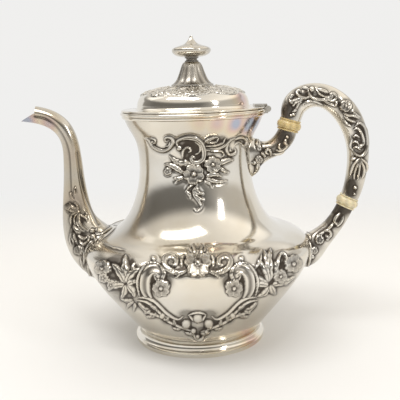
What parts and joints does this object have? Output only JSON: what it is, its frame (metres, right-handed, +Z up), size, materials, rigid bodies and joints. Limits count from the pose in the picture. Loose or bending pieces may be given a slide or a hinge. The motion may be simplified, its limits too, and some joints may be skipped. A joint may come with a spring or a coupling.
{
  "type": "coffee pot",
  "caption": "Silver coffee pot with a swan-neck spout, a low wide belly, a hinged domed lid with a turned finial, and a hollow loop handle set between pale insulating rings.",
  "frame": {"origin": "on the table under the middle of the foot ring, which is also the axis of the turned body", "axes": "+Z up, +X from the body's axis towards the handle, -X towards the spout, +Y to the side away from the picture's camera"},
  "size_m": [0.2601, 0.1726, 0.2286],
  "materials": {
    "silver": "polished silver with darkened recesses",
    "insulator": "polished ivory colour"
  },
  "bodies": {
    "pot": {"body_bowl": "silver", "body_shoulder": "silver", "body_neck": "silver", "foot_ring": "silver", "rim_moulding": "silver", "spout_left_half": "silver", "spout_right_half": "silver", "upper_socket": "silver", "lower_socket": "silver", "upper_insulator": "insulator", "lower_insulator": "insulator", "handle_left_half": "silver", "handle_right_half": "silver", "insulator_pins": "silver", "hinge_leaf_pot": "silver", "hinge_pin": "silver"},
    "lid": {"lid_dome": "silver", "lid_bezel": "silver", "hinge_leaf_lid": "silver", "finial_base": "silver", "finial_collar": "silver", "finial_knob": "silver", "finial_stud": "silver", "finial_washer": "silver", "finial_nut": "silver"}
  },
  "joints": [
    {"name": "lid_hinge", "type": "hinge", "parent": "pot", "child": "lid", "pos_m": [0.055, 0, 0.1746], "axis": [0, 1, 0], "range_deg": [0, 95]}
  ]
}
